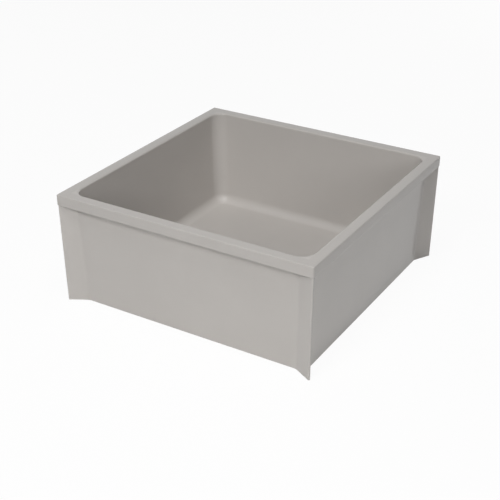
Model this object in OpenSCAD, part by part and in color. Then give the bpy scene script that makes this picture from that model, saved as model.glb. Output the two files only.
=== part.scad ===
// Mop service sink: a square one-piece basin that stands on the floor, with a factory-fitted drain.
// Millimetres. Z is up, the origin is the centre of the footprint at floor level, and -Y is the front.

/* [Basin] */
// Overall width, left to right
basin_w = 609.6; // [460:0.1:920]
// Overall depth, front to back
basin_d = 609.6; // [460:0.1:920]
// Overall height
basin_h = 254; // [180:1:360]
// Width of the rim, from its outer edge to the bowl's wall
rim_w = 24.5; // [20:0.5:50]
// Rounding along the rim's outer top edge
rim_outer_r = 2; // [0.5:0.5:5]
// Rounding where the rim turns down into the bowl
rim_inner_r = 4; // [1:0.5:8]
// Height of the band that hangs round the rim
band_h = 25; // [15:0.5:45]
// Rounding along the band's lower edge
band_lower_r = 3; // [0.5:0.5:6]
// Rounding of the band's upright corners
band_corner_r = 3; // [1:0.5:12]

/* [Walls] */
// Thickness of the wall just below the band
wall_t = 7.8; // [5:0.1:12]
// Lean of the outer wall, narrower towards the floor
wall_draft = 1.9; // [0:0.1:2.3]
// Thickness of the wall where it stands on the floor
wall_foot_t = 11; // [6:0.5:14]

/* [Bowl] */
// Lean of the bowl's wall, narrower towards its floor
bowl_draft = 3; // [2:0.1:5]
// Radius of the bowl's upright corners
bowl_corner_r = 31; // [20:0.5:60]
// Radius of the cove between the bowl's wall and its floor
cove_r = 22; // [8:0.5:40]
// Level of the bowl's floor at the cove
floor_rise = 22; // [21.5:0.5:60]
// Fall of the bowl's floor from the cove to the drain's flat
floor_fall = 1.5; // [0.5:0.5:2.5]
// Width of the flat that the bowl's floor keeps round the drain
drain_flat_w = 6; // [2:0.5:20]

/* [Corner fins] */
// Distance from the wall's own corner to where the fin springs from it
fin_root = 20.5; // [8:0.5:40]
// How far the fin's nose stands in from the band's corner, each way
fin_inset = 1.1; // [0.5:0.1:5]
// Lean of the fin's nose, narrower towards the floor
fin_draft = 0.7; // [0:0.1:2]
// Radius of the fin's nose
fin_nose_r = 2.4; // [1:0.1:4]

/* [Underside] */
// Thickness of the floor panel between its ribs, at the drain
panel_t = 8; // [6:0.5:11]
// Thickness of each rib
rib_t = 8; // [4:0.5:14]
// Gap between the drain's boss and the ribs on each side of it
rib_gap = 18; // [8:0.5:60]
// How far the drain's boss reaches past the washers
boss_margin = 5; // [2:0.5:12]
// Radius of the hollow's upright corners
hollow_corner_r = 24; // [8:1:40]
// Lean of the hollow's wall, wider towards the floor
hollow_draft = 3; // [1:0.5:6]

/* [Waste pipe and its seal] */
// Outside diameter of the waste pipe that the drain takes
pipe_d = 88.9; // [60:0.1:114.3]
// Thickness of the rubber between the pipe and the drain's barrel
seal_t = 7.5; // [5:0.1:12]
// Height of the rubber pipe seal
seal_h = 9; // [6:0.1:10]
// Gap between the pipe and the metal round it
pipe_gap = 2; // [1:0.1:3]
// Gap round the rubber pipe seal before it is squeezed
seal_gap = 0.1; // [0.05:0.05:0.3]
// Height of the slotted nut that squeezes the pipe seal
seal_nut_h = 4.2; // [3:0.1:5]
// Number of key slots in the seal nut
seal_nut_slots = 6; // [3:1:10]
// Width of each key slot
slot_w = 7; // [4:0.5:10]
// Depth of each key slot
slot_depth = 2; // [1:0.1:2.6]

/* [Drain body] */
// Thickness of the barrel's wall, thread included
barrel_t = 4.6; // [3.6:0.1:6]
// Gap between the barrel's foot and the floor that the basin stands on
barrel_lift = 0.5; // [0.2:0.1:1.5]
// Thickness of the inward lip that carries the pipe seal
lip_t = 2; // [1:0.1:3]
// Width of the shoulder that the ring screws are tapped into
shoulder_w = 11.5; // [11:0.1:16]
// Metal left under the seat ring
shoulder_t = 3.2; // [2:0.1:4]
// Width of the metal round the seat ring
collar_w = 3; // [2:0.1:4]
// Width of the flange outside the shoulder
flange_w = 7.5; // [5:0.1:14]
// Thickness of the flange
flange_t = 3; // [2:0.1:4]
// Gap round the drain body and under its shoulder, in the floor's recess
recess_gap = 0.8; // [0.3:0.1:0.9]
// Pitch of the threads
thread_pitch = 1.4; // [1:0.1:2]
// Depth of the threads
thread_depth = 0.7; // [0.3:0.1:1]
// Gap between mating threads
thread_gap = 0.15; // [0.05:0.05:0.3]

/* [Washers and lock nut] */
// Thickness of the rubber ring under the flange
flange_seal_t = 1; // [0.6:0.1:1.8]
// Thickness of the rubber washer under the floor
floor_washer_t = 1.8; // [1:0.1:2.6]
// Thickness of the hard slip washer
slip_washer_t = 0.8; // [0.5:0.1:1.2]
// Width of both washers
washer_w = 12; // [8:0.5:16]
// Thickness of the lock nut
lock_nut_t = 5; // [4:0.1:6.8]
// Width of the lock nut's ring, lugs left out
lock_nut_w = 9; // [6:0.5:11]
// Number of lugs round the lock nut
lock_nut_lugs = 8; // [4:1:12]
// How far each lug stands out
lug_out = 4; // [2:0.5:6]
// Width of each lug
lug_w = 14; // [8:0.5:18]
// Barrel left bare below the lock nut
barrel_past_nut = 0.4; // [0.2:0.1:1]

/* [Seat ring and its screws] */
// Thickness of the seat ring
seat_ring_t = 3.3; // [2.6:0.1:4]
// Width of the ledge that the basket's rim lies on
ledge_w = 5.5; // [3:0.1:6.5]
// How far the seat ring's bore stands back from the seal nut's
bore_setback = 0.6; // [0.3:0.1:1.5]
// Gap round the seat ring and round the lift-out rims
seat_gap = 0.3; // [0.2:0.05:0.5]
// How far the seat ring's top stands above the dome's rim
rim_sink = 0.1; // [0:0.05:0.3]
// Number of ring screws
screw_count = 3; // [2:1:6]
// Diameter of each ring screw's shank
screw_d = 4; // [3:0.5:4.5]
// Diameter of each ring screw's head
screw_head_d = 7.6; // [6:0.1:8]
// Height of the cone under each ring screw's head
screw_head_h = 1.8; // [1.2:0.1:2.2]
// Gap round the ring screws
screw_gap = 0.1; // [0.05:0.05:0.2]
// Width of the cross in each screw's head
cross_w = 1; // [0.6:0.1:1.4]
// Length of the cross in each ring screw's head
cross_l = 4.4; // [3:0.1:5]
// Depth of the cross in each ring screw's head
cross_depth = 1; // [0.5:0.1:1.2]

/* [Lint basket] */
// Thickness of the basket's sheet
basket_t = 0.8; // [0.5:0.1:1]
// Gap between the basket's wall and the seal nut's bore
basket_gap = 0.8; // [0.5:0.1:3]
// Gap between the knob screw's head and the top of the pipe seal
basket_lift = 0.7; // [0.4:0.1:2]
// Radius of the bend between the basket's wall and its bottom
basket_bend_r = 2.5; // [1.5:0.1:4]
// Diameter of the basket's holes
basket_hole_d = 4; // [2:0.1:5]
// Distance between neighbouring holes of the basket
basket_hole_pitch = 8; // [6.5:0.1:12]
// Radius of the first ring of holes, round the knob
basket_first_r = 14.5; // [13:0.5:18]
// Rings of holes in the basket's bottom
basket_rings = 4; // [2:1:4]

/* [Lift knob] */
// Height of the knob above the basket's bottom
knob_h = 19; // [14:0.5:24]
// Diameter of the knob's head
knob_d = 15; // [12:0.5:20]
// Radius of the edge of the knob's head
knob_edge_r = 2.2; // [1:0.1:3]
// Diameter of the knob's stem
stem_d = 7; // [5:0.5:9]
// Diameter of the knob's foot
foot_d = 16; // [12:0.5:20]
// Thickness of the knob's foot
foot_t = 1.6; // [1:0.1:3]
// Diameter of the knob screw's shank
knob_screw_d = 3; // [2.5:0.5:4]
// Length of the knob screw's shank inside the knob
knob_screw_l = 9; // [5:0.5:11]
// Diameter of the knob screw's head
knob_screw_head_d = 7; // [5:0.5:9]
// Height of the knob screw's head
knob_screw_head_h = 0.7; // [0.5:0.1:0.9]

/* [Dome strainer] */
// Thickness of the dome's sheet
dome_t = 0.8; // [0.6:0.1:1]
// Height of the dome above the floor round the drain
dome_h = 26; // [22:0.5:34]
// Width of the dome's flat rim
dome_rim_w = 7; // [5:0.5:9]
// Diameter of the dome's holes
dome_hole_d = 5.5; // [3:0.1:6]
// Rings of holes round the hole in the dome's crown
dome_rings = 4; // [2:1:5]
// Holes in the dome's first ring, added again in each ring outside it
dome_ring_holes = 6; // [4:1:6]
// Gap between the dome's outermost holes and its flat rim
dome_hole_gap = 2.2; // [1:0.1:5]

/* [Hidden] */
$fn = 96;
// A cut runs past the face that it opens by this much
past = 1;
// Steps round a moulded quarter circle, for a large radius and for a small one
big_steps = 10;
small_steps = 4;

stone = [0.69, 0.68, 0.66];
steel = [0.78, 0.79, 0.80];
bronze = [0.72, 0.58, 0.34];
rubber = [0.10, 0.10, 0.11];
fibre = [0.62, 0.50, 0.36];

// Basin
half_w = basin_w / 2;
half_d = basin_d / 2;
band_z = basin_h - band_h;
drain_z = floor_rise - floor_fall;
panel_z = drain_z - panel_t;
cove_z = floor_rise + cove_r;

// Drain radii, from the pipe out
pipe_r = pipe_d / 2;
lip_r = pipe_r + pipe_gap;
barrel_ir = pipe_r + seal_t;
barrel_or = barrel_ir + barrel_t;
washer_r = barrel_or + washer_w;
shoulder_r = barrel_or + shoulder_w;
seat_recess_r = shoulder_r - collar_w;
flange_r = shoulder_r + flange_w;
drain_flat_r = flange_r + recess_gap;
boss_r = washer_r + boss_margin;
rib_place = boss_r + rib_gap + rib_t / 2;

// Drain levels, from the floor's flat down
flange_z = drain_z - flange_t;
flange_seal_z = flange_z - flange_seal_t;
seat_ring_z = drain_z - seat_ring_t;
shoulder_z = seat_ring_z - shoulder_t;
shoulder_recess_z = shoulder_z - recess_gap;

// Drain levels, from the ground up
lock_nut_z = barrel_lift + barrel_past_nut;
slip_washer_z = lock_nut_z + lock_nut_t;
floor_washer_z = slip_washer_z + slip_washer_t;
boss_z = floor_washer_z + floor_washer_t;
pipe_seal_z = barrel_lift + lip_t;
seal_nut_z = pipe_seal_z + seal_h;

// Seat ring and what lies in it
seat_ring_r = seat_recess_r - seat_gap;
seat_bore_r = lip_r + bore_setback;
ledge_r = seat_bore_r + ledge_w;
screw_place_r = (ledge_r + seat_ring_r) / 2;
lift_rim_r = ledge_r - seat_gap;
dome_rim_z = drain_z - rim_sink - dome_t;
basket_rim_z = dome_rim_z - basket_t;
basket_r = lip_r - basket_gap;
basket_z = seal_nut_z + basket_lift + knob_screw_head_h;
knob_z = basket_z + basket_t;
knob_screw_z = basket_z - knob_screw_head_h;

// Dome: a slice of a ball that rises from the inside of its flat rim
dome_foot_r = lift_rim_r - dome_rim_w;
dome_rise = drain_z + dome_h - dome_rim_z;
dome_ball_r = (pow(dome_foot_r, 2) + pow(dome_rise, 2)) / (2 * dome_rise);
dome_ball_z = drain_z + dome_h - dome_ball_r;
dome_foot_turn = asin(dome_foot_r / dome_ball_r);
dome_last_turn = dome_foot_turn - (dome_hole_gap + dome_hole_d / 2) / dome_ball_r * 180 / PI;

// Half the bowl's width or depth at a level, from half of the basin's
function bowl_half(half, z) = half - rim_w - (basin_h - z) * tan(bowl_draft);

// Half the outer wall's width or depth at a level, from half of the basin's
function wall_half(half, z) = bowl_half(half, band_z) + wall_t - (band_z - z) * tan(wall_draft);

// A rectangle with round corners at one level, anticlockwise from above
function round_ring(hx, hy, r, z, steps) = [
    for (corner = [0:3], i = [0:steps])
        let (
            turn = 90 * (corner + i / steps),
            cx = (corner == 0 || corner == 3) ? hx - r : r - hx,
            cy = corner < 2 ? hy - r : r - hy
        )
        [cx + r * cos(turn), cy + r * sin(turn), z]
];

// The same points for the corner in each quarter, kept anticlockwise
function in_quarter(points, quarter) =
    let (
        sx = (quarter == 0 || quarter == 3) ? 1 : -1,
        sy = quarter < 2 ? 1 : -1,
        last = len(points) - 1
    )
    [for (i = [0:last]) let (p = points[sx * sy > 0 ? i : last - i]) [sx * p[0], sy * p[1], p[2]]];

// One corner fin's outline at a level: out round its nose, back to the wall, and into the wall
function fin_ring(z, quarter) =
    let (
        wx = wall_half(half_w, z),
        wy = wall_half(half_d, z),
        corner_cut = (band_corner_r * (1 - cos(45))) + fin_nose_r * cos(45),
        inset = corner_cut + fin_inset + (band_z - z) * tan(fin_draft),
        nose = [half_w - inset, half_d - inset],
        reach = nose - [wx, wy - fin_root],
        face_turn = atan2(reach[1], reach[0]) - asin(fin_nose_r / norm(reach)) - 90,
        corner = [
            [wx, wy - fin_root, z],
            for (i = [0:small_steps])
                let (turn = face_turn + (90 - 2 * face_turn) * i / small_steps)
                [nose[0] + fin_nose_r * cos(turn), nose[1] + fin_nose_r * sin(turn), z],
            [wx - fin_root, wy, z],
            [wx - fin_root, wy - fin_root, z],
        ]
    )
    in_quarter(corner, quarter);

// The wall's own outline at a level, without the fins
function wall_ring(z) = [
    for (quarter = [0:3])
        each in_quarter([[wall_half(half_w, z), wall_half(half_d, z), z]], quarter)
];

// A solid through rings of as many points each, from the lowest ring up
module loft(rings) {
    n = len(rings[0]);
    top = len(rings) - 1;
    polyhedron(
        points = [for (ring = rings) each ring],
        faces = [
            [for (i = [0:n - 1]) i],
            for (k = [0:top - 1], i = [0:n - 1])
                let (a = k * n + i, b = k * n + (i + 1) % n)
                each [[a, a + n, b + n], [a, b + n, b]],
            [for (i = [n - 1:-1:0]) top * n + i],
        ]
    );
}

// A round bar with ring threads between two levels, grown by a gap
module threaded_bar(r, z_low, z_high, gap) {
    first = ceil(z_low / thread_pitch);
    last = floor(z_high / thread_pitch) - 1;
    root = r - thread_depth + gap;
    rotate_extrude()
        polygon([
            [0, z_low],
            [root, z_low],
            for (k = [first:last])
                each [[root, k * thread_pitch], [r + gap, (k + 0.5) * thread_pitch]],
            [root, (last + 1) * thread_pitch],
            [root, z_high],
            [0, z_high],
        ]);
}

module ring(r_out, r_in, z, h) {
    translate([0, 0, z])
        difference() {
            cylinder(r = r_out, h = h);
            translate([0, 0, -past]) cylinder(r = r_in, h = h + 2 * past);
        }
}

module around(count, r) {
    for (i = [0:count - 1])
        rotate([0, 0, 360 * i / count]) translate([r, 0, 0]) children();
}

// Rim and the band that hangs round it, still solid
module rim_band() {
    edge = [for (i = [0:small_steps]) 90 * i / small_steps];
    loft([
        for (turn = edge)
            let (inset = band_lower_r * (1 - sin(turn)))
            round_ring(half_w - inset, half_d - inset, max(band_corner_r - inset, rim_outer_r / 4),
                band_z + band_lower_r * (1 - cos(turn)), small_steps),
        for (turn = edge)
            let (inset = rim_outer_r * (1 - cos(turn)))
            round_ring(half_w - inset, half_d - inset, max(band_corner_r - inset, rim_outer_r / 4),
                basin_h - rim_outer_r * (1 - sin(turn)), small_steps),
    ]);
}

module bowl_space() {
    foot_w = bowl_half(half_w, cove_z) - cove_r;
    foot_d = bowl_half(half_d, cove_z) - cove_r;
    foot_r = max(bowl_corner_r - cove_r, rim_inner_r / 2);
    lip_z = basin_h - rim_inner_r;
    loft([
        round_ring(drain_flat_r + drain_flat_w, drain_flat_r + drain_flat_w, drain_flat_r, drain_z,
            big_steps),
        for (i = [0:big_steps])
            let (turn = 90 * i / big_steps, out = cove_r * sin(turn))
            round_ring(foot_w + out, foot_d + out, foot_r + (bowl_corner_r - foot_r) * sin(turn),
                cove_z - cove_r * cos(turn), big_steps),
        for (i = [0:small_steps])
            let (turn = 90 * i / small_steps, out = rim_inner_r * (1 - cos(turn)))
            round_ring(bowl_half(half_w, lip_z) + out, bowl_half(half_d, lip_z) + out,
                bowl_corner_r + out, lip_z + rim_inner_r * sin(turn), big_steps),
        round_ring(bowl_half(half_w, lip_z) + rim_inner_r, bowl_half(half_d, lip_z) + rim_inner_r,
            bowl_corner_r + rim_inner_r, basin_h + past, big_steps),
    ]);
}

// Hollow under the floor, with the ribs and the drain's boss left standing
module underside_space() {
    foot_w = wall_half(half_w, 0) - wall_foot_t;
    foot_d = wall_half(half_d, 0) - wall_foot_t;
    difference() {
        loft([
            for (z = [-past, panel_z])
                let (out = -z * tan(hollow_draft))
                round_ring(foot_w + out, foot_d + out, hollow_corner_r, z, big_steps)
        ]);
        for (side = [-1, 1]) {
            translate([side * rib_place - rib_t / 2, -half_d, 0]) cube([rib_t, basin_d, panel_z]);
            translate([-half_w, side * rib_place - rib_t / 2, 0]) cube([basin_w, rib_t, panel_z]);
        }
        translate([0, 0, boss_z]) cylinder(r = boss_r, h = panel_z);
    }
}

module basin() {
    color(stone)
        difference() {
            union() {
                rim_band();
                loft([wall_ring(0), wall_ring(band_z + past)]);
                for (quarter = [0:3])
                    loft([fin_ring(0, quarter), fin_ring(band_z + band_lower_r, quarter)]);
            }
            bowl_space();
            underside_space();
            translate([0, 0, flange_seal_z]) cylinder(r = flange_r + recess_gap, h = drain_z);
            translate([0, 0, shoulder_recess_z]) cylinder(r = shoulder_r + recess_gap, h = drain_z);
            cylinder(r = barrel_or + recess_gap, h = drain_z);
        }
}

module drain_body() {
    color(bronze)
        difference() {
            union() {
                ring(flange_r, barrel_ir, flange_z, flange_t);
                ring(shoulder_r, barrel_ir, shoulder_z, drain_z - shoulder_z);
                threaded_bar(barrel_or, barrel_lift, shoulder_z + past, 0);
            }
            translate([0, 0, barrel_lift - past]) cylinder(r = lip_r, h = drain_z);
            translate([0, 0, pipe_seal_z]) cylinder(r = barrel_ir, h = drain_z);
            threaded_bar(barrel_ir + thread_depth, seal_nut_z, seat_ring_z + past, 0);
            translate([0, 0, seat_ring_z]) cylinder(r = seat_recess_r, h = seat_ring_t + past);
            around(screw_count, screw_place_r)
                translate([0, 0, shoulder_z - past]) cylinder(d = screw_d, h = drain_z);
        }
}

module flange_seal() {
    color(rubber) ring(flange_r, shoulder_r + recess_gap, flange_seal_z, flange_seal_t);
}

module floor_washer() {
    color(rubber) ring(washer_r, barrel_or + seat_gap, floor_washer_z, floor_washer_t);
}

module slip_washer() {
    color(fibre) ring(washer_r, barrel_or + seat_gap, slip_washer_z, slip_washer_t);
}

module lock_nut() {
    nut_r = barrel_or + lock_nut_w;
    color(bronze)
        difference() {
            union() {
                translate([0, 0, lock_nut_z]) cylinder(r = nut_r, h = lock_nut_t);
                around(lock_nut_lugs, nut_r)
                    translate([-lug_w / 2, -lug_w / 2, lock_nut_z])
                        cube([lug_w / 2 + lug_out, lug_w, lock_nut_t]);
            }
            threaded_bar(barrel_or, barrel_lift - past, boss_z + past, thread_gap);
        }
}

module pipe_seal() {
    color(rubber) ring(barrel_ir - seal_gap, pipe_r, pipe_seal_z, seal_h);
}

module seal_nut() {
    color(bronze)
        difference() {
            threaded_bar(barrel_ir + thread_depth, seal_nut_z, seal_nut_z + seal_nut_h, -thread_gap);
            translate([0, 0, seal_nut_z - past]) cylinder(r = lip_r, h = seal_nut_h + 2 * past);
            around(seal_nut_slots, barrel_ir)
                translate([-seal_t, -slot_w / 2, seal_nut_z + seal_nut_h - slot_depth])
                    cube([2 * seal_t, slot_w, slot_depth + past]);
        }
}

module seat_ring() {
    color(steel)
        difference() {
            ring(seat_ring_r, seat_bore_r, seat_ring_z, seat_ring_t);
            translate([0, 0, basket_rim_z]) cylinder(r = ledge_r, h = drain_z);
            around(screw_count, screw_place_r) {
                translate([0, 0, seat_ring_z - past])
                    cylinder(d = screw_d + 2 * screw_gap, h = seat_ring_t + 2 * past);
                translate([0, 0, drain_z - screw_head_h])
                    cylinder(d1 = screw_d + 2 * screw_gap, d2 = screw_head_d + 2 * screw_gap,
                        h = screw_head_h);
            }
        }
}

module cross_recess(z, length, depth) {
    for (turn = [0, 90])
        rotate([0, 0, turn])
            translate([-length / 2, -cross_w / 2, z]) cube([length, cross_w, depth + past]);
}

module ring_screws() {
    color(steel)
        around(screw_count, screw_place_r)
            difference() {
                union() {
                    translate([0, 0, shoulder_z])
                        cylinder(d = screw_d, h = drain_z - screw_head_h - shoulder_z);
                    translate([0, 0, drain_z - screw_head_h])
                        cylinder(d1 = screw_d, d2 = screw_head_d, h = screw_head_h);
                }
                cross_recess(drain_z - cross_depth, cross_l, cross_depth);
            }
}

// Half section of a cup's outside, with a round bend at its foot
module cup_half(r, z, bend) {
    translate([0, z + bend]) square([r, drain_z - z]);
    translate([0, z]) square([r - bend, bend + past]);
    translate([r - bend, z + bend]) circle(r = bend);
}

module lint_basket() {
    bottom_rings = [for (k = [0:basket_rings - 1]) basket_first_r + k * basket_hole_pitch];
    wall_holes = floor(2 * PI * basket_r / basket_hole_pitch);
    wall_hole_z = (basket_z + basket_rim_z + basket_t) / 2;
    color(steel)
        difference() {
            union() {
                rotate_extrude()
                    intersection() {
                        cup_half(basket_r, basket_z, basket_bend_r);
                        square([basket_r, basket_rim_z + basket_t]);
                    }
                translate([0, 0, basket_rim_z]) cylinder(r = lift_rim_r, h = basket_t);
            }
            rotate_extrude() cup_half(basket_r - basket_t, knob_z, basket_bend_r - basket_t);
            for (r = bottom_rings)
                around(floor(2 * PI * r / basket_hole_pitch), r)
                    translate([0, 0, basket_z - past])
                        cylinder(d = basket_hole_d, h = basket_t + 2 * past);
            around(wall_holes, basket_r)
                translate([past, 0, wall_hole_z]) rotate([0, -90, 0])
                    cylinder(d = basket_hole_d, h = basket_t + 2 * past);
            translate([0, 0, basket_z - past])
                cylinder(d = knob_screw_d + 2 * screw_gap, h = basket_t + 2 * past);
        }
}

module lift_knob() {
    head_z = knob_z + knob_h - 2 * knob_edge_r;
    color(steel)
        difference() {
            union() {
                translate([0, 0, knob_z]) cylinder(d = foot_d, h = foot_t);
                translate([0, 0, knob_z]) cylinder(d = stem_d, h = knob_h - knob_edge_r);
                translate([0, 0, head_z]) cylinder(r = knob_d / 2 - knob_edge_r, h = 2 * knob_edge_r);
                translate([0, 0, head_z + knob_edge_r])
                    rotate_extrude() translate([knob_d / 2 - knob_edge_r, 0]) circle(r = knob_edge_r);
            }
            translate([0, 0, knob_z - past])
                cylinder(d = knob_screw_d + 2 * screw_gap, h = knob_screw_l + screw_gap + past);
        }
}

module knob_screw() {
    color(steel)
        difference() {
            union() {
                translate([0, 0, knob_screw_z]) cylinder(d = knob_screw_head_d, h = knob_screw_head_h);
                translate([0, 0, knob_screw_z])
                    cylinder(d = knob_screw_d, h = knob_z + knob_screw_l - knob_screw_z);
            }
            translate([-knob_screw_head_d / 2, -cross_w / 2, knob_screw_z - past])
                cube([knob_screw_head_d, cross_w, knob_screw_head_h / 2 + past]);
        }
}

module dome_strainer() {
    color(steel)
        difference() {
            union() {
                translate([0, 0, dome_rim_z]) cylinder(r = lift_rim_r, h = dome_t);
                intersection() {
                    translate([0, 0, dome_ball_z]) sphere(r = dome_ball_r);
                    translate([0, 0, dome_rim_z]) cylinder(r = dome_ball_r, h = dome_rise + past);
                }
            }
            translate([0, 0, dome_ball_z]) {
                sphere(r = dome_ball_r - dome_t);
                translate([0, 0, dome_ball_r - 2 * dome_t]) cylinder(d = dome_hole_d, h = 4 * dome_t);
                for (k = [1:dome_rings])
                    for (i = [0:k * dome_ring_holes - 1])
                        rotate([0, dome_last_turn * k / dome_rings, 360 * i / (k * dome_ring_holes)])
                            translate([0, 0, dome_ball_r - 2 * dome_t])
                                cylinder(d = dome_hole_d, h = 4 * dome_t);
            }
        }
}

basin();
drain_body();
flange_seal();
floor_washer();
slip_washer();
lock_nut();
pipe_seal();
seal_nut();
seat_ring();
ring_screws();
lint_basket();
lift_knob();
knob_screw();
dome_strainer();
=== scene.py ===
import math

import bmesh
import bpy
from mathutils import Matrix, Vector


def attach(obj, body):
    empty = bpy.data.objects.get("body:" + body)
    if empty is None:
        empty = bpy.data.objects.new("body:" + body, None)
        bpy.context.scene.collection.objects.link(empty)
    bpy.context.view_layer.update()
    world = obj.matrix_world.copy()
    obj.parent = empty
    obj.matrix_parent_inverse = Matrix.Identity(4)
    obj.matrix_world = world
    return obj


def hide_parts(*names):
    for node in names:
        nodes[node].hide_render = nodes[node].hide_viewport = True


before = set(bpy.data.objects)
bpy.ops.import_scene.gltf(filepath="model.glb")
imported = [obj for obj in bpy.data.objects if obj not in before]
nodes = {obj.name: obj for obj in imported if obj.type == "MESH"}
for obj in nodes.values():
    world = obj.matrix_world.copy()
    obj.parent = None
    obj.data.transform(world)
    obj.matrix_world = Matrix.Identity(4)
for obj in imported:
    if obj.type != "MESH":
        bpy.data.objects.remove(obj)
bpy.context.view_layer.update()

# ---------------------------------------------------------------------------------------------
# Basin. One moulding of stone-filled resin: a flat rim with a band that hangs round it, leaning
# walls with a fin at each corner, and a coved bowl. It comes out of a steel mould, so each wall
# leans and each edge is rounded. The sizes of this and of every other piece are millimetres.
# ---------------------------------------------------------------------------------------------
MM = 0.001
HALF = 304.8
HEIGHT = 254
BAND_FOOT = 229
BAND_LOWER_R = 3
BAND_CORNER_R = 3
RIM_OUTER_R = 2
RIM_INNER_R = 4
RIM_WIDTH = 24.5
BOWL_LEAN = math.tan(math.radians(3))
BOWL_CORNER_R = 31
COVE_R = 22
COVE_TOP = 44
DRAIN_FLAT = 20.5
FLAT_HALF = 82.35
FLAT_R = 76.35
WALL_LEAN = math.tan(math.radians(1.9))
WALL_BELOW_BAND = 7.8
FIN_ROOT = 20.5
FIN_CREASE_R = 15
FIN_NOSE_R = 2.4
FIN_LEAN = math.tan(math.radians(0.7))
FIN_SET_BACK = 1.1
FIN_INSET = (FIN_SET_BACK + BAND_CORNER_R * (1 - math.cos(math.pi / 4))
             + FIN_NOSE_R * math.cos(math.pi / 4))
WALL_INTO_BAND = 1.5
FOOT_WIDTH = 11
PANEL_TOP = 12.5
HOLLOW_CORNER_R = 24
HOLLOW_LEAN = 0.0524
HOLLOW_EASE = ((0, 2.5), (0.8, 0.8), (2.5, 0))
RIB_PLACE = 95.55
RIB_THICK = 8
BOSS_R = 73.55
BOSS_FOOT = 8.5
DRAIN_RECESSES = ((FLAT_R, 16.5), (68.85, 13.2), (57.35, -5))
ABOVE_THE_FLOOR = 40


def bowl_half(level):
    """Half the bowl's width at a level."""
    return HALF - RIM_WIDTH - (HEIGHT - level) * BOWL_LEAN


def wall_half(level):
    """Half the outer wall's width at a level."""
    return bowl_half(BAND_FOOT) + WALL_BELOW_BAND - (BAND_FOOT - level) * WALL_LEAN


def rounded(corners, level):
    """The points of an outline at a level. Each corner is x, y, its radius and its steps."""
    points = []
    for i, (x, y, radius, steps) in enumerate(corners):
        corner = Vector((x, y))
        back = (Vector(corners[i - 1][:2]) - corner).normalized()
        on = (Vector(corners[(i + 1) % len(corners)][:2]) - corner).normalized()
        half_turn = back.angle(on) / 2
        centre = corner + (back + on).normalized() * radius / math.sin(half_turn)
        start = corner + back * radius / math.tan(half_turn) - centre
        sweep = math.pi - 2 * half_turn
        side = 1 if back.cross(on) < 0 else -1
        for k in range(steps + 1):
            turn = side * sweep * k / steps
            spoke = Vector((start.x * math.cos(turn) - start.y * math.sin(turn),
                            start.x * math.sin(turn) + start.y * math.cos(turn)))
            points.append((*(centre + spoke), level))
    return points


def square(half, radius, level, steps):
    """A square outline with rounded corners."""
    return rounded([(half, -half, radius, steps), (half, half, radius, steps),
                    (-half, half, radius, steps), (-half, -half, radius, steps)], level)


def drawn_up(name, outlines):
    """A solid drawn up through outlines of as many points each: a disc, extruded step by step."""
    count = len(outlines[0])
    bpy.ops.object.select_all(action="DESELECT")
    bpy.ops.mesh.primitive_circle_add(vertices=count, radius=1, fill_type="NGON")
    piece = bpy.context.object
    piece.name = name
    piece.data.name = name
    for vertex, point in zip(piece.data.vertices, outlines[0]):
        vertex.co = Vector(point) * MM
    bpy.ops.object.mode_set(mode="EDIT")
    bpy.ops.mesh.select_mode(type="FACE")
    bpy.ops.mesh.select_all(action="SELECT")
    for below, outline in zip(outlines, outlines[1:]):
        bpy.ops.mesh.extrude_region_move()
        mesh = bmesh.from_edit_mesh(piece.data)
        cap = next(face for face in mesh.faces if face.select)
        edge = [loop.vert for loop in cap.loops]
        first, second = Vector(below[0]) * MM, Vector(below[1]) * MM
        at = min(range(count), key=lambda k: (edge[k].co - first).length)
        ahead = (edge[(at + 1) % count].co - second).length
        behind = (edge[at - 1].co - second).length
        way = 1 if ahead < behind else -1
        for k, point in enumerate(outline):
            edge[(at + way * k) % count].co = Vector(point) * MM
        bmesh.update_edit_mesh(piece.data)
    bpy.ops.mesh.select_all(action="SELECT")
    bpy.ops.mesh.normals_make_consistent(inside=False)
    bpy.ops.object.mode_set(mode="OBJECT")
    return piece


def only(piece):
    """Selects one piece and nothing else."""
    bpy.ops.object.select_all(action="DESELECT")
    bpy.context.view_layer.objects.active = piece
    piece.select_set(True)


def merged(piece, tool, operation):
    """Joins a tool's solid to a piece, or cuts it out of the piece, and removes the tool."""
    only(piece)
    bpy.ops.object.modifier_add(type="BOOLEAN")
    boolean = piece.modifiers[-1]
    boolean.operation = operation
    boolean.solver = "EXACT"
    boolean.object = tool
    bpy.ops.object.modifier_apply(modifier=boolean.name)
    bpy.data.objects.remove(tool)


def round_bar(radius, low, high, vertices=128):
    """A plain round tool between two levels."""
    bpy.ops.object.select_all(action="DESELECT")
    bpy.ops.mesh.primitive_cylinder_add(vertices=vertices, radius=radius * MM,
                                        depth=(high - low) * MM,
                                        location=(0, 0, (low + high) / 2 * MM))
    bpy.ops.object.transform_apply(location=True)
    return bpy.context.object


def block(size, place, turn=0):
    """A plain square tool: its size, its middle's place, and how far it is turned."""
    bpy.ops.object.select_all(action="DESELECT")
    bpy.ops.mesh.primitive_cube_add(size=1, scale=[length * MM for length in size],
                                    location=[length * MM for length in place],
                                    rotation=(0, 0, turn))
    bpy.ops.object.transform_apply(location=True, rotation=True, scale=True)
    return bpy.context.object


def quarter(steps):
    """The sine and cosine of each step round a quarter circle."""
    turns = [math.pi / 2 * k / steps for k in range(steps + 1)]
    return [(math.sin(turn), math.cos(turn)) for turn in turns]


def rim_corner_r(inset):
    """The band's corner radius where its edge has turned in by so much."""
    return max(BAND_CORNER_R - inset, 0.6)


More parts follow.
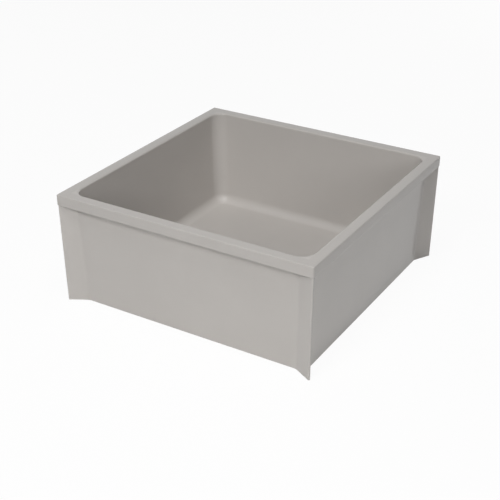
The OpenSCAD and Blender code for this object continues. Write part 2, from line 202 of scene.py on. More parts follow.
band = []
for up, out in quarter(6):
    inset = BAND_LOWER_R * (1 - up)
    band.append(square(HALF - inset, rim_corner_r(inset), BAND_FOOT + BAND_LOWER_R * (1 - out), 6))
for up, out in quarter(5):
    inset = RIM_OUTER_R * (1 - out)
    band.append(square(HALF - inset, rim_corner_r(inset), HEIGHT - RIM_OUTER_R * (1 - up), 6))
basin = drawn_up("basin_moulding", band)


def wall_outline(level):
    """The leaning wall with its four fins, at a level."""
    wall = wall_half(level)
    nose = HALF - FIN_INSET - (BAND_FOOT - level) * FIN_LEAN
    reach = Vector((nose - wall, nose - wall + FIN_ROOT))
    rise = math.atan2(reach.y, reach.x) - math.asin(FIN_NOSE_R / reach.length)
    tip = wall + FIN_ROOT * math.cos(rise) / (math.sin(rise) - math.cos(rise))
    root = wall - FIN_ROOT
    corners = []
    for sx, sy in ((1, 1), (-1, 1), (-1, -1), (1, -1)):
        three = [(wall * sx, root * sy, FIN_CREASE_R, 5), (tip * sx, tip * sy, FIN_NOSE_R, 10),
                 (root * sx, wall * sy, FIN_CREASE_R, 5)]
        corners += three if sx * sy > 0 else three[::-1]
    return rounded(corners, level)


walls = drawn_up("walls", [wall_outline(level) for level in (0, BAND_FOOT + WALL_INTO_BAND)])
merged(basin, walls, "UNION")

foot_half = bowl_half(COVE_TOP) - COVE_R
foot_r = BOWL_CORNER_R - COVE_R
bowl = [square(FLAT_HALF, FLAT_R, DRAIN_FLAT, 20)]
for up, out in quarter(16):
    bowl.append(square(foot_half + COVE_R * up, foot_r + (BOWL_CORNER_R - foot_r) * up,
                       COVE_TOP - COVE_R * out, 20))
lip = HEIGHT - RIM_INNER_R
for up, out in quarter(8):
    flare = RIM_INNER_R * (1 - out)
    bowl.append(square(bowl_half(lip) + flare, BOWL_CORNER_R + flare, lip + RIM_INNER_R * up, 20))
bowl.append(square(bowl_half(lip) + RIM_INNER_R, BOWL_CORNER_R + RIM_INNER_R, HEIGHT + 1, 20))
merged(basin, drawn_up("bowl", bowl), "DIFFERENCE")

hollow_foot = wall_half(0) - FOOT_WIDTH
hollow_head = hollow_foot - (PANEL_TOP - HOLLOW_EASE[0][1]) * HOLLOW_LEAN
hollow = drawn_up("hollow", [
    square(hollow_foot + 0.05, HOLLOW_CORNER_R, -1, 8),
    *[square(hollow_head - inset, HOLLOW_CORNER_R - inset, PANEL_TOP - drop, 8)
      for inset, drop in HOLLOW_EASE],
])
for place in (-RIB_PLACE, RIB_PLACE):
    merged(hollow, block((2 * HALF, RIB_THICK, PANEL_TOP), (0, place, PANEL_TOP / 2)),
           "DIFFERENCE")
    merged(hollow, block((RIB_THICK, 2 * HALF, PANEL_TOP), (place, 0, PANEL_TOP / 2)),
           "DIFFERENCE")
merged(hollow, round_bar(BOSS_R, BOSS_FOOT, ABOVE_THE_FLOOR), "DIFFERENCE")
merged(basin, hollow, "DIFFERENCE")
for radius, low in DRAIN_RECESSES:
    merged(basin, round_bar(radius, low, ABOVE_THE_FLOOR), "DIFFERENCE")


ONE_SPOT = 0.001


def smooth(piece, angle=32):
    """Merges points on one spot, then shades smooth up to an angle and keeps flat faces flat."""
    only(piece)
    bpy.ops.object.mode_set(mode="EDIT")
    bpy.ops.mesh.select_all(action="SELECT")
    bpy.ops.mesh.remove_doubles(threshold=ONE_SPOT * MM)
    bpy.ops.object.mode_set(mode="OBJECT")
    bpy.ops.object.shade_smooth_by_angle(angle=math.radians(angle))
    bpy.ops.object.modifier_add(type="WEIGHTED_NORMAL")
    piece.modifiers[-1].keep_sharp = True
    bpy.ops.object.modifier_apply(modifier=piece.modifiers[-1].name)


smooth(basin)


class Signal:
    """A socket in a material's nodes, which adds, subtracts and multiplies as a number does."""

    def __init__(self, tree, socket=None):
        self.tree = tree
        self.socket = socket

    def node(self, kind, settings, inputs, output=0):
        """A new node: first its settings, then its sockets' values or links."""
        made = self.tree.nodes.new("ShaderNode" + kind)
        for name, value in settings.items():
            if name == "stops":
                for stop, (place, colour) in zip(made.color_ramp.elements, value):
                    stop.position = place
                    stop.color = (*colour, 1)
            else:
                setattr(made, name, value)
        for name, value in inputs.items():
            if isinstance(value, Signal):
                self.tree.links.new(value.socket, made.inputs[name])
            else:
                made.inputs[name].default_value = value
        return Signal(self.tree, made.outputs[output])

    def math(self, operation, left, right):
        return self.node("Math", {"operation": operation}, {0: left, 1: right})

    def __add__(self, other):
        return self.math("ADD", self, other)

    def __sub__(self, other):
        return self.math("SUBTRACT", self, other)

    def __rsub__(self, other):
        return self.math("SUBTRACT", other, self)

    def __mul__(self, other):
        return self.math("MULTIPLY", self, other)

    __radd__ = __add__
    __rmul__ = __mul__

    def blend(self, low, high):
        """A colour between two, by this signal."""
        return self.node("Mix", {"data_type": "RGBA"}, {0: self, 6: low, 7: high}, 2)

    def noise(self, scale, detail=2, stretch=(1, 1, 1), roughness=0.5):
        """Noise on the object's own coordinates, with so many cells in a metre."""
        place = self.node("TexCoord", {}, {}, "Object")
        place = self.node("Mapping", {}, {"Vector": place, "Scale": stretch})
        return self.node("TexNoise", {}, {"Vector": place, "Scale": scale, "Detail": detail,
                                          "Roughness": roughness}, "Fac")


def finish_of(name, surface):
    """A material whose surface function gets its first signal and returns the shader's inputs."""
    material = bpy.data.materials.new(name)
    material.use_nodes = True
    tree = material.node_tree
    tree.nodes.clear()
    start = Signal(tree)
    shader = start.node("BsdfPrincipled", {}, surface(start))
    output = tree.nodes.new("ShaderNodeOutputMaterial")
    tree.links.new(shader.socket, output.inputs["Surface"])
    return material


WARMTH = (1.05, 1.0, 0.95)


def grey(level):
    """A grey with a little warmth in it."""
    return (*(level * part for part in WARMTH), 1)


def moulded_stone(start):
    """Filled resin: a warm grey, faintly clouded, with painted shade darkening the rim and band.
    """
    cloud = start.noise(7, 3)
    grain = start.noise(900, 2)
    tone = cloud * 0.6 + grain * 0.4
    ripple = start.noise(60, 3)
    place = start.node("TexCoord", {}, {}, "Object")
    across, along, level = [start.node("SeparateXYZ", {}, {"Vector": place}, axis)
                            for axis in "XYZ"]
    outward = start.math("MAXIMUM", start.math("ABSOLUTE", across, 0),
                         start.math("ABSOLUTE", along, 0))
    # Painted shade: the rim's top and the band round it get a darker grey than the walls and bowl.
    painted_shade_on_rim = (start.math("GREATER_THAN", outward, (HALF - RIM_WIDTH + RIM_INNER_R / 2) * MM)
              * start.math("GREATER_THAN", level, (BAND_FOOT - 0.01) * MM))
    return {
        "Base Color": painted_shade_on_rim.blend(tone.blend(grey(0.468), grey(0.528)),
                                   tone.blend(grey(0.44), grey(0.496))),
        "Roughness": 0.12 + cloud * 0.05 + grain * 0.03,
        "Specular IOR Level": 0.3,
        "Normal": start.node("Bump", {}, {"Strength": 0.35, "Distance": 0.0003,
                                          "Height": ripple * 0.5 + grain * 0.08}),
    }


stone = finish_of("moulded_stone", moulded_stone)


def dress(piece, material, body="basin_and_drain"):
    """Gives a piece of its own its material, and its body to ride on."""
    piece.data.materials.clear()
    piece.data.materials.append(material)
    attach(piece, body)


dress(basin, stone)
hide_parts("basin")

# ---------------------------------------------------------------------------------------------
# Drain body. A bronze casting that the lathe has turned all round. It drops through the basin's
# floor: its flange and shoulder lie in the floor, and its barrel is threaded inside and out.
# ---------------------------------------------------------------------------------------------
LIP_R = 46.45
BARREL_BORE = 51.95
BARREL_R = 56.55
BARREL_FOOT = 0.5
PIPE_SEAL_FOOT = 2.5
SEAL_NUT_FOOT = 11.5
SHOULDER_R = 68.05
SHOULDER_FOOT = 14
FLANGE_R = 75.55
FLANGE_FOOT = 17.5
COLLAR_BORE = 65.05
SEAT_RING_FOOT = 17.2
THREAD_PITCH = 1.4
THREAD_DEPTH = 0.7
SCREW_CIRCLE_R = 58.65
SCREW_SHANK_R = 2
SCREW_HOLE_LENGTH = 8
SCREW_HOLE_MIDDLE = 16


def threads(crest, low, high):
    """The outline of ring threads between two levels, from below."""
    root = crest - THREAD_DEPTH
    first, last = math.ceil(low / THREAD_PITCH), math.floor(high / THREAD_PITCH)
    points = [(root, low)]
    for k in range(first, last):
        points += [(root, k * THREAD_PITCH), (crest, (k + 0.5) * THREAD_PITCH)]
    return points + [(root, last * THREAD_PITCH), (root, high)]


def turned(name, outline, edge=0.2, steps=128):
    """A piece turned round the drain's axis from half its section, with its edges eased."""
    bpy.ops.object.select_all(action="DESELECT")
    bpy.ops.mesh.primitive_circle_add(vertices=len(outline), radius=1, fill_type="NOTHING")
    piece = bpy.context.object
    piece.name = name
    piece.data.name = name
    for vertex, (radius, level) in zip(piece.data.vertices, outline):
        vertex.co = Vector((radius, 0, level)) * MM
    bpy.ops.object.mode_set(mode="EDIT")
    bpy.ops.mesh.select_all(action="SELECT")
    bpy.ops.mesh.spin(steps=steps, angle=2 * math.pi, center=(0, 0, 0), axis=(0, 0, 1))
    bpy.ops.mesh.select_all(action="SELECT")
    bpy.ops.mesh.remove_doubles(threshold=2 * ONE_SPOT * MM)
    bpy.ops.mesh.delete_loose(use_verts=True, use_edges=True, use_faces=False)
    bpy.ops.mesh.select_all(action="SELECT")
    bpy.ops.mesh.normals_make_consistent(inside=False)
    bpy.ops.object.mode_set(mode="OBJECT")
    if edge:
        bpy.ops.object.modifier_add(type="BEVEL")
        bevel = piece.modifiers[-1]
        bevel.width = edge * MM
        bevel.segments = 2
        bevel.limit_method = "ANGLE"
        bevel.angle_limit = math.radians(38)
        bpy.ops.object.modifier_apply(modifier=bevel.name)
    return piece


def pin(radius, length, place, lean=(0, 0, 0), point_r=None, sides=24):
    """A round tool, or a tapered one: its middle's place, and how it leans."""
    bpy.ops.object.select_all(action="DESELECT")
    bpy.ops.mesh.primitive_cone_add(
        vertices=sides, radius1=(radius if point_r is None else point_r) * MM,
        radius2=radius * MM, depth=length * MM, location=Vector(place) * MM, rotation=lean)
    bpy.ops.object.transform_apply(location=True, rotation=True)
    return bpy.context.object


def joined(pieces):
    """One object of several."""
    bpy.ops.object.select_all(action="DESELECT")
    for piece in pieces:
        piece.select_set(True)
    bpy.context.view_layer.objects.active = pieces[0]
    bpy.ops.object.join()
    return pieces[0]


def round_the_axis(count, radius):
    """The angle and the place of each of a ring of like things."""
    turns = [2 * math.pi * i / count for i in range(count)]
    return [(turn, radius * math.cos(turn), radius * math.sin(turn)) for turn in turns]


drain = turned("drain_casting", [
    *threads(BARREL_R, BARREL_FOOT, SHOULDER_FOOT),
    (SHOULDER_R, SHOULDER_FOOT), (SHOULDER_R, FLANGE_FOOT), (FLANGE_R, FLANGE_FOOT),
    (FLANGE_R, DRAIN_FLAT), (COLLAR_BORE, DRAIN_FLAT), (COLLAR_BORE, SEAT_RING_FOOT),
    *threads(BARREL_BORE + THREAD_DEPTH, SEAL_NUT_FOOT, SEAT_RING_FOOT)[::-1],
    (BARREL_BORE, PIPE_SEAL_FOOT), (LIP_R, PIPE_SEAL_FOOT), (LIP_R, BARREL_FOOT),
])
merged(drain, joined([pin(SCREW_SHANK_R, SCREW_HOLE_LENGTH, (x, y, SCREW_HOLE_MIDDLE))
                      for turn, x, y in round_the_axis(3, SCREW_CIRCLE_R)]), "DIFFERENCE")
smooth(drain)


def lathe_lines(start, fineness):
    """The fine rings that a lathe leaves: noise that changes with the radius and the level."""
    place = start.node("TexCoord", {}, {}, "Object")
    flat = start.node("VectorMath", {"operation": "MULTIPLY"}, {0: place, 1: (1, 1, 0)})
    radius = start.node("VectorMath", {"operation": "LENGTH"}, {0: flat}, "Value")
    level = start.node("SeparateXYZ", {}, {"Vector": place}, "Z")
    across = start.node("CombineXYZ", {}, {"X": radius, "Y": level})
    return start.node("TexNoise", {}, {"Vector": across, "Scale": fineness, "Detail": 3}, "Fac")


def turned_bronze(start):
    """Bronze with lathe lines and a slightly uneven tarnish."""
    lines = lathe_lines(start, 1500)
    tarnish = start.noise(45, 4)
    return {
        "Base Color": (tarnish * 0.8 + lines * 0.2).blend((0.27, 0.18, 0.08, 1),
                                                           (0.42, 0.30, 0.15, 1)),
        "Metallic": 1.0,
        "Roughness": 0.34 + tarnish * 0.14 + lines * 0.1,
        "Normal": start.node("Bump", {}, {"Strength": 0.3, "Distance": 0.0001, "Height": lines}),
    }


bronze = finish_of("drain_bronze", turned_bronze)
dress(drain, bronze)
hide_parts("drain_body")

# ---------------------------------------------------------------------------------------------
# Flange seal, floor washer and pipe seal. Rings of black rubber: one lies under the flange, one
# is squeezed up against the basin's boss, and the last grips the waste pipe inside the barrel.
# ---------------------------------------------------------------------------------------------
WASHER_R = 68.55
WASHER_BORE = 56.85
WASHER_FOOT = 6.7
WASHER_BULGE = 0.5
PIPE_R = 44.45
SEAL_SLACK = 0.1
SEAL_LIP_LEVELS = (10.2, 7.5, 4.8)
SEAL_LIP_DEPTH = 0.8
SEAL_LIP_ROOT = 0.9
SEAL_LIP_TIP = 0.4


def squeezed_ring(name, bore, radius, low, high, bulge):
    """A rubber ring whose outer side swells a little where it is squeezed flat."""
    middle = (low + high) / 2
    ease = (high - low) * 0.22
    return turned(name, [
        (bore, low), (radius - bulge, low), (radius - bulge * 0.25, low + ease), (radius, middle),
        (radius - bulge * 0.25, high - ease), (radius - bulge, high), (bore, high),
    ], edge=0.1)


def black_rubber(start):
    """Moulded rubber: nearly black, dull, with a fine bloom."""
    bloom = start.noise(70, 4)
    grain = start.noise(1400, 2)
    return {
        "Base Color": (bloom * 0.7 + grain * 0.3).blend((0.012, 0.012, 0.013, 1),
                                                         (0.035, 0.034, 0.033, 1)),
        "Roughness": 0.55 + bloom * 0.2,
        "Normal": start.node("Bump", {}, {"Strength": 0.25, "Distance": 0.0001, "Height": grain}),
    }


rubber = finish_of("black_rubber", black_rubber)
floor_washer = squeezed_ring("floor_washer_ring", WASHER_BORE, WASHER_R, WASHER_FOOT, BOSS_FOOT,
                             WASHER_BULGE)
seal_bore = PIPE_R + SEAL_LIP_DEPTH
seal_r = BARREL_BORE - SEAL_SLACK
pipe_seal = turned("pipe_seal_ring", [
    (seal_bore, PIPE_SEAL_FOOT), (seal_r, PIPE_SEAL_FOOT), (seal_r, SEAL_NUT_FOOT),
    (seal_bore, SEAL_NUT_FOOT),
    *[point for level in SEAL_LIP_LEVELS for point in (
        (seal_bore, level + SEAL_LIP_ROOT), (PIPE_R, level + SEAL_LIP_TIP),
        (PIPE_R, level - SEAL_LIP_TIP), (seal_bore, level - SEAL_LIP_ROOT))],
], edge=0.15)
for ring, node in ((floor_washer, "floor_washer"), (pipe_seal, "pipe_seal")):
    smooth(ring, 40)
    dress(ring, rubber)
    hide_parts(node)
nodes["flange_seal"].material_slots[0].material = rubber

# ---------------------------------------------------------------------------------------------
# Slip washer. A thin ring of pressed fibre between the rubber and the nut, so that the nut turns
# without dragging the rubber round.
# ---------------------------------------------------------------------------------------------
LOCK_NUT_TOP = 5.9


def pressed_fibre(start):
    """Pressed fibre board: brown, matt and flecked."""
    fleck = start.noise(420, 4, (1, 0.35, 1))
    cloud = start.noise(60, 2)
    return {
        "Base Color": (fleck * 0.7 + cloud * 0.3).blend((0.20, 0.12, 0.06, 1),
                                                         (0.42, 0.28, 0.15, 1)),
        "Roughness": 0.7 + fleck * 0.2,
        "Normal": start.node("Bump", {}, {"Strength": 0.4, "Distance": 0.0001, "Height": fleck}),
    }


slip_washer = turned("slip_washer_ring", [
    (WASHER_BORE, LOCK_NUT_TOP), (WASHER_R, LOCK_NUT_TOP), (WASHER_R, WASHER_FOOT),
    (WASHER_BORE, WASHER_FOOT)], edge=0.1)
smooth(slip_washer)
dress(slip_washer, finish_of("pressed_fibre", pressed_fibre))
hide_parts("slip_washer")

# ---------------------------------------------------------------------------------------------
# Lock nut. A cast bronze nut with eight lugs for a wrench. It is screwed up the barrel from under
# the floor, and clamps the washers against the basin.
# ---------------------------------------------------------------------------------------------
THREAD_GAP = 0.15
LOCK_NUT_R = 65.55
LOCK_NUT_FOOT = 0.9
LUGS = 8
LUG_OUT = 4
LUG_WIDTH = 14
LUG_EDGE = 0.8

lock_nut = turned("lock_nut_casting", [
    *threads(BARREL_R + THREAD_GAP, LOCK_NUT_FOOT, LOCK_NUT_TOP)[::-1],
    (LOCK_NUT_R, LOCK_NUT_FOOT), (LOCK_NUT_R, LOCK_NUT_TOP)], edge=0.25)
lugs = []
for turn, x, y in round_the_axis(LUGS, LOCK_NUT_R - LUG_WIDTH / 4 + LUG_OUT / 2):
    lug = block((LUG_WIDTH / 2 + LUG_OUT, LUG_WIDTH, LOCK_NUT_TOP - LOCK_NUT_FOOT),
                (x, y, (LOCK_NUT_TOP + LOCK_NUT_FOOT) / 2), turn)
    bpy.ops.object.mode_set(mode="EDIT")
    bpy.ops.mesh.select_all(action="SELECT")
    bpy.ops.mesh.bevel(offset=LUG_EDGE * MM, segments=3, affect="EDGES")
    bpy.ops.object.mode_set(mode="OBJECT")
    lugs.append(lug)
merged(lock_nut, joined(lugs), "UNION")
smooth(lock_nut)


def cast_bronze(start):
    """Bronze as it comes out of the sand: dull, pitted and uneven."""
    pits = start.noise(600, 4)
    tarnish = start.noise(30, 4)
    return {
        "Base Color": (tarnish * 0.7 + pits * 0.3).blend((0.24, 0.16, 0.07, 1),
                                                          (0.40, 0.28, 0.13, 1)),
        "Metallic": 1.0,
        "Roughness": 0.42 + tarnish * 0.15 + pits * 0.1,
        "Normal": start.node("Bump", {}, {"Strength": 0.5, "Distance": 0.0002, "Height": pits}),
    }


dress(lock_nut, finish_of("cast_bronze", cast_bronze))
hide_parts("lock_nut")

# ---------------------------------------------------------------------------------------------
# Seal nut. A turned bronze ring, screwed down inside the barrel onto the pipe seal. Its six slots
# take the tightening tool.
# ---------------------------------------------------------------------------------------------
SEAL_NUT_TOP = 15.7
SLOT_LENGTH = 120
SLOT_WIDTH = 7
SLOT_DEPTH = 2

seal_nut = turned("seal_nut_ring", [
    *threads(BARREL_BORE + THREAD_DEPTH - THREAD_GAP, SEAL_NUT_FOOT, SEAL_NUT_TOP),
    (LIP_R, SEAL_NUT_TOP), (LIP_R, SEAL_NUT_FOOT)])
for turn in (0, math.pi / 3, 2 * math.pi / 3):
    merged(seal_nut, block((SLOT_LENGTH, SLOT_WIDTH, SLOT_DEPTH),
                           (0, 0, SEAL_NUT_TOP - SLOT_DEPTH / 2 + 0.05), turn), "DIFFERENCE")
smooth(seal_nut)
dress(seal_nut, bronze)
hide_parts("seal_nut")

# ---------------------------------------------------------------------------------------------
# Seat ring. A turned ring of stainless steel, let into the drain flush with its flange. A ledge
# round its bore carries the basket and the dome, and three screws hold it down.
# ---------------------------------------------------------------------------------------------
SEAT_RING_R = 64.75
SEAT_BORE = 47.05
LEDGE_R = 52.55
BASKET_RIM_FOOT = 18.8
SCREW_HEAD_R = 3.8
SCREW_HEAD_HEIGHT = 1.8
SCREW_GAP = 0.1
RING_HOLE_MIDDLE = 17

seat_ring = turned("seat_ring_turned", [
    (SEAT_RING_R, SEAT_RING_FOOT), (SEAT_RING_R, DRAIN_FLAT), (LEDGE_R, DRAIN_FLAT),
    (LEDGE_R, BASKET_RIM_FOOT), (SEAT_BORE, BASKET_RIM_FOOT), (SEAT_BORE, SEAT_RING_FOOT)],
    edge=0.25)
merged(seat_ring, joined([
    pin(SCREW_SHANK_R + SCREW_GAP, SCREW_HOLE_LENGTH, (x, y, RING_HOLE_MIDDLE))
    for turn, x, y in round_the_axis(3, SCREW_CIRCLE_R)]), "DIFFERENCE")
merged(seat_ring, joined([
    pin(SCREW_HEAD_R + SCREW_GAP, SCREW_HEAD_HEIGHT,
        (x, y, DRAIN_FLAT - SCREW_HEAD_HEIGHT / 2 + 0.001),
        point_r=SCREW_SHANK_R + SCREW_GAP, sides=48)
    for turn, x, y in round_the_axis(3, SCREW_CIRCLE_R)]), "DIFFERENCE")
smooth(seat_ring)


def turned_steel(start):
    """Stainless steel with fine rings from the lathe, and a soft even shine."""
    lines = lathe_lines(start, 2200)
    cloud = start.noise(35, 3)
    return {
        "Base Color": (lines * 0.5 + cloud * 0.5).blend((0.34, 0.34, 0.33, 1),
                                                         (0.46, 0.46, 0.45, 1)),
        "Metallic": 1.0,
        "Roughness": 0.3 + lines * 0.16 + cloud * 0.06,
        "Normal": start.node("Bump", {}, {"Strength": 0.3, "Distance": 0.0001, "Height": lines}),
    }


steel = finish_of("turned_steel", turned_steel)
dress(seat_ring, steel)
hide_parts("seat_ring")

# ---------------------------------------------------------------------------------------------
# Ring screws. Three countersunk machine screws with a cross in the head, that hold the seat ring
# down on the drain's shoulder.
# ---------------------------------------------------------------------------------------------
CROSS_WIDTH = 1
CROSS_LENGTH = 4.4
CROSS_DEPTH = 1
SCREW_PITCH = 0.7
SCREW_THREADS = 6
TURNED_HOME = (0.4, 1.1, 0.15)

screw_root = SCREW_SHANK_R - SCREW_PITCH / 2
screw_crest = SCREW_SHANK_R - 0.02
head_foot = DRAIN_FLAT - SCREW_HEAD_HEIGHT
screw_turns = []
for k in range(SCREW_THREADS):
    screw_turns += [(screw_root, SHOULDER_FOOT + SCREW_PITCH * k),
                    (screw_crest, SHOULDER_FOOT + SCREW_PITCH * (k + 0.5))]
screw = turned("ring_screw_1", [
    (0, SHOULDER_FOOT), *screw_turns, (screw_root, head_foot - 0.3), (screw_crest, head_foot),
    (SCREW_HEAD_R, DRAIN_FLAT - 0.15), (SCREW_HEAD_R, DRAIN_FLAT), (0, DRAIN_FLAT)],
    edge=0.06, steps=48)
for turn in (0, math.pi / 2):
    merged(screw, block((CROSS_LENGTH, CROSS_WIDTH, 2 * CROSS_DEPTH), (0, 0, DRAIN_FLAT), turn),
           "DIFFERENCE")
smooth(screw)


def drawn_steel(start):
    """Plain stainless steel, as screws and knobs have: brighter, with faint wear."""
    cloud = start.noise(120, 4)
    return {
        "Base Color": cloud.blend((0.40, 0.40, 0.39, 1), (0.54, 0.54, 0.53, 1)),
        "Metallic": 1.0,
        "Roughness": 0.2 + cloud * 0.16,
        "Normal": start.node("Bump", {}, {"Strength": 0.15, "Distance": 0.0001,
                                          "Height": cloud}),
    }


bright = finish_of("bright_steel", drawn_steel)
screws = [screw]
for number in (2, 3):
    only(screw)
    bpy.ops.object.duplicate(linked=False)
    screws.append(bpy.context.object)
    screws[-1].name = f"ring_screw_{number}"
    screws[-1].data.name = screws[-1].name
for ring_screw, (turn, x, y), turned_by in zip(screws, round_the_axis(3, SCREW_CIRCLE_R),
                                               TURNED_HOME):
    only(ring_screw)
    ring_screw.rotation_euler = (0, 0, turned_by)
    ring_screw.location = (x * MM, y * MM, 0)
    bpy.ops.object.transform_apply(location=True, rotation=True)
    dress(ring_screw, bright)
    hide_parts("ring_screws")

# ---------------------------------------------------------------------------------------------
# Lint basket. A shallow cup, pressed from thin stainless sheet and punched with holes. Its rim
# lies on the seat ring's ledge, and it lifts straight out.
# ---------------------------------------------------------------------------------------------
SHEET = 0.8
BASKET_R = 45.65
BASKET_FOOT = 12.9
BASKET_BEND = 2.5
LIFT_RIM_R = 52.25
BASKET_HOLE = 4
BASKET_PITCH = 8
BASKET_RINGS = (14.5, 22.5, 30.5, 38.5)
PUNCH = 4
KNOB_SCREW_R = 1.5

outer_bend = [(BASKET_R - BASKET_BEND * (1 - up), BASKET_FOOT + BASKET_BEND * (1 - out))
              for up, out in quarter(5)]
inner_r = BASKET_BEND - SHEET
inner_bend = [(BASKET_R - SHEET - inner_r * (1 - up), BASKET_FOOT + SHEET + inner_r * (1 - out))
              for up, out in quarter(5)]
mouth_bend = [(BASKET_R - SHEET + SHEET * (1 - out), BASKET_RIM_FOOT + SHEET * up)
              for up, out in quarter(4)]
basket = turned("lint_basket_cup", [
    (0, BASKET_FOOT), (KNOB_SCREW_R + 1, BASKET_FOOT), *outer_bend, (BASKET_R, BASKET_RIM_FOOT),
    (LIFT_RIM_R, BASKET_RIM_FOOT), (LIFT_RIM_R, BASKET_RIM_FOOT + SHEET),
    *mouth_bend[::-1], *inner_bend[::-1], (0, BASKET_FOOT + SHEET)], edge=0.15)
holes = []
for radius in BASKET_RINGS:
    for turn, x, y in round_the_axis(int(2 * math.pi * radius / BASKET_PITCH), radius):
        holes.append(pin(BASKET_HOLE / 2, PUNCH, (x, y, BASKET_FOOT), sides=20))
wall_middle = (BASKET_FOOT + BASKET_RIM_FOOT + SHEET) / 2
for turn, x, y in round_the_axis(int(2 * math.pi * BASKET_R / BASKET_PITCH), BASKET_R):
    holes.append(pin(BASKET_HOLE / 2, PUNCH, (x, y, wall_middle), (0, math.pi / 2, turn),
                     sides=20))
holes.append(pin(KNOB_SCREW_R + SCREW_GAP, PUNCH, (0, 0, BASKET_FOOT)))
merged(basket, joined(holes), "DIFFERENCE")
smooth(basket)
dress(basket, steel, "lint_basket")
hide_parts("lint_basket")

# ---------------------------------------------------------------------------------------------
# Lift knob and its screw. The knob is turned from bar, with a wide foot that the screw pulls down
# on the basket's bottom from below.
# ---------------------------------------------------------------------------------------------
KNOB_FOOT = 13.7
KNOB_TOP = 32.7
KNOB_R = 7.5
KNOB_EDGE = 2.2
STEM_R = 3.5
FOOT_R = 8
FOOT_THICK = 1.6
FOOT_FILLET = 1.5
HEAD_FILLET = 1.2
SCREW_DEPTH = 9
KNOB_SCREW_FOOT = 12.2
KNOB_SCREW_HEAD_R = 3.5
KNOB_SLOT_LENGTH = 8
KNOB_SLOT_DEPTH = 0.35

head_middle = KNOB_TOP - KNOB_EDGE
neck = KNOB_FOOT + FOOT_THICK
knob = turned("lift_knob_turned", [
    (KNOB_SCREW_R + SCREW_GAP, KNOB_FOOT), (FOOT_R, KNOB_FOOT), (FOOT_R, neck - 0.5),
    (FOOT_R - 0.5, neck),
    *[(STEM_R + FOOT_FILLET * (1 - up), neck + FOOT_FILLET * (1 - out))
      for up, out in quarter(5)],
    *[(STEM_R + HEAD_FILLET * (1 - out), head_middle - KNOB_EDGE - HEAD_FILLET * (1 - up))
      for up, out in quarter(4)],
    *[(KNOB_R - KNOB_EDGE * (1 - up), head_middle - KNOB_EDGE * out) for up, out in quarter(6)],
    *[(KNOB_R - KNOB_EDGE * (1 - out), head_middle + KNOB_EDGE * up)
      for up, out in quarter(6)[1:]],
    (0, KNOB_TOP), (0, KNOB_FOOT + SCREW_DEPTH + SCREW_GAP),
    (KNOB_SCREW_R + SCREW_GAP, KNOB_FOOT + SCREW_DEPTH + SCREW_GAP)], edge=0.1, steps=64)
smooth(knob, 40)
dress(knob, bright, "lint_basket")
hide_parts("lift_knob")

knob_screw = turned("knob_screw_turned", [
    (0, KNOB_SCREW_FOOT), (KNOB_SCREW_HEAD_R - 0.3, KNOB_SCREW_FOOT),
    (KNOB_SCREW_HEAD_R, KNOB_SCREW_FOOT + 0.3), (KNOB_SCREW_HEAD_R, BASKET_FOOT),
    (KNOB_SCREW_R, BASKET_FOOT), (KNOB_SCREW_R, KNOB_FOOT + SCREW_DEPTH - 0.4),
    (KNOB_SCREW_R - 0.4, KNOB_FOOT + SCREW_DEPTH), (0, KNOB_FOOT + SCREW_DEPTH)],
    edge=0.05, steps=48)
merged(knob_screw, block((KNOB_SLOT_LENGTH, CROSS_WIDTH, 2 * KNOB_SLOT_DEPTH),
                         (0, 0, KNOB_SCREW_FOOT)), "DIFFERENCE")
smooth(knob_screw)
dress(knob_screw, bright, "lint_basket")
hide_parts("knob_screw")

# ---------------------------------------------------------------------------------------------
# Dome strainer. A flat rim and a dome, pressed from one stainless sheet and punched with rings of
# holes. It lies over the basket's rim, in the same recess, and lifts off first.
# ---------------------------------------------------------------------------------------------
DOME_R = 51.5
DOME_CENTRE = -5
DOME_RIM_FOOT = 19.6
DOME_HOLE = 5.5
DOME_PUNCH = 6
DOME_RINGS = 4
DOME_LAST_RING = math.radians(55.97)
DOME_BEND_RISE = 0.88
DOME_BEND_RUN = 1.2


def dome_slope(radius, level, steps):
    """Half the section of a ball round the dome's centre, from a level up to its crown."""
    start = math.acos((level - DOME_CENTRE) / radius)
    turns = [start * (1 - k / steps) for k in range(steps + 1)]
    return [(radius * math.sin(turn), DOME_CENTRE + radius * math.cos(turn)) for turn in turns]


rim_top = DOME_RIM_FOOT + SHEET
outer_slope = dome_slope(DOME_R, rim_top + DOME_BEND_RISE, 30)
dome_foot_r = dome_slope(DOME_R, rim_top, 1)[0][0]
bend_in = [(dome_foot_r + DOME_BEND_RUN * (1 - k) ** 2, rim_top + DOME_BEND_RISE * k ** 2)
           for k in (0, 0.25, 0.5, 0.75)]
inner_slope = dome_slope(DOME_R - SHEET, DOME_RIM_FOOT, 31)
dome = turned("dome_strainer_pressing", [
    (LIFT_RIM_R, DOME_RIM_FOOT), (LIFT_RIM_R, rim_top), *bend_in, *outer_slope,
    *inner_slope[::-1]], edge=0.15)
holes = [pin(DOME_HOLE / 2, DOME_PUNCH, (0, 0, DOME_CENTRE + DOME_R))]
for ring_number in range(1, DOME_RINGS + 1):
    lean = DOME_LAST_RING * ring_number / DOME_RINGS
    reach = DOME_R * math.sin(lean)
    level = DOME_CENTRE + DOME_R * math.cos(lean)
    for turn, x, y in round_the_axis(6 * ring_number, reach):
        holes.append(pin(DOME_HOLE / 2, DOME_PUNCH, (x, y, level), (0, lean, turn)))
merged(dome, joined(holes), "DIFFERENCE")
smooth(dome)
dress(dome, steel, "dome_strainer")
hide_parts("dome_strainer")

# ---------------------------------------------------------------------------------------------
# Stage: a white studio floor and a white surround, which the camera and the metal both see, and
# five soft lamps. Three light the front as in the photograph, and two fill in the other sides.
# Lengths here and for the camera are metres.
# ---------------------------------------------------------------------------------------------
FLOOR_SIZE = 24
FLOOR_WHITE = 0.94
AMBIENT = 0.03
AIM_HEIGHT = 0.15
LAMP_DISTANCE = 3.2

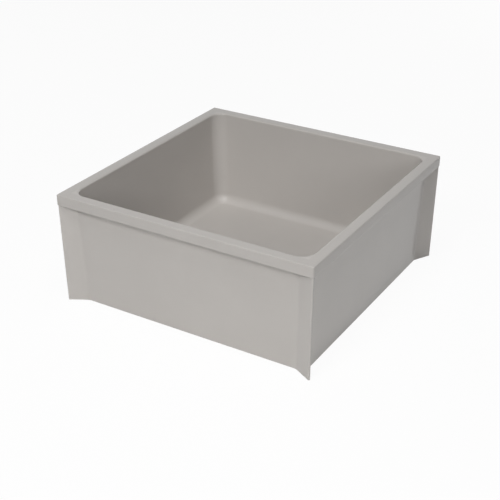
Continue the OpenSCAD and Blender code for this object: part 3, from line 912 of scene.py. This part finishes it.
bpy.ops.object.select_all(action="DESELECT")
bpy.ops.mesh.primitive_plane_add(size=FLOOR_SIZE)
floor = bpy.context.object
floor.name = "studio_floor"
floor_paint = bpy.data.materials.new("studio_white")
floor_paint.use_nodes = True
floor_tree = floor_paint.node_tree
floor_tree.nodes.clear()
paint = Signal(floor_tree)


def seen_white(start):
    """One where the camera, metal or glass sees the studio, and nought where its light falls."""
    by_camera, by_gloss, by_glass = [start.node("LightPath", {}, {}, ray) for ray in (
        "Is Camera Ray", "Is Glossy Ray", "Is Transmission Ray")]
    return start.math("MAXIMUM", by_camera, start.math("MAXIMUM", by_gloss, by_glass))


matte = paint.node("BsdfDiffuse", {}, {"Color": (0.9, 0.9, 0.9, 1)})
glow = paint.node("Emission", {}, {"Color": (1, 1, 1, 1), "Strength": 1.0})
mixed = paint.node("MixShader", {}, {0: seen_white(paint) * FLOOR_WHITE, 1: matte, 2: glow})
floor_output = floor_tree.nodes.new("ShaderNodeOutputMaterial")
floor_tree.links.new(mixed.socket, floor_output.inputs["Surface"])
floor.data.materials.append(floor_paint)

world = bpy.data.worlds.new("studio")
bpy.context.scene.world = world
world.use_nodes = True
world.node_tree.nodes.clear()
sky = Signal(world.node_tree)
background = sky.node("Background", {}, {
    "Color": (1, 1, 1, 1), "Strength": AMBIENT + seen_white(sky) * (1 - AMBIENT)})
world_output = world.node_tree.nodes.new("ShaderNodeOutputWorld")
world.node_tree.links.new(background.socket, world_output.inputs["Surface"])


def lamp(name, azimuth, elevation, size, watts):
    """A soft square lamp that points at the basin. Azimuth 0 is the front, and 90 the right."""
    light = bpy.data.lights.new(name, "AREA")
    light.size = size
    light.energy = watts
    holder = bpy.data.objects.new(name, light)
    bpy.context.scene.collection.objects.link(holder)
    round_by, up_by = math.radians(azimuth), math.radians(elevation)
    away = Vector((math.sin(round_by) * math.cos(up_by), -math.cos(round_by) * math.cos(up_by),
                   math.sin(up_by)))
    holder.location = away * LAMP_DISTANCE + Vector((0, 0, AIM_HEIGHT))
    holder.rotation_euler = away.to_track_quat("Z", "Y").to_euler()


lamp("key", 0, 42, 0.9, 37)
lamp("key_right", 45, 20, 0.9, 16)
lamp("overhead", 30, 72, 1.6, 42)
lamp("fill_back", 174, 10, 1.0, 14)
lamp("fill_left", 264, 12, 1.2, 13)

# ---------------------------------------------------------------------------------------------
# Camera: above and to the front right, as in the photograph. Its place, its turn from straight
# ahead and its tilt come from the rim's corners and the fins' feet there.
# ---------------------------------------------------------------------------------------------
CAMERA_LENS = 76.09
CAMERA_PLACE = (1.0774, -1.8113, 1.1886)
CAMERA_TURN = math.radians(31.1)
CAMERA_TILT = math.radians(28.0)

lens = bpy.data.cameras.new("camera")
lens.sensor_width = 36
lens.lens = CAMERA_LENS
lens.clip_end = 50
camera = bpy.data.objects.new("camera", lens)
bpy.context.scene.collection.objects.link(camera)
camera.location = CAMERA_PLACE
ahead = Vector((-math.sin(CAMERA_TURN) * math.cos(CAMERA_TILT),
                math.cos(CAMERA_TURN) * math.cos(CAMERA_TILT), -math.sin(CAMERA_TILT)))
camera.rotation_euler = ahead.to_track_quat("-Z", "Y").to_euler()
bpy.context.scene.camera = camera
bpy.context.scene.view_settings.view_transform = "Standard"
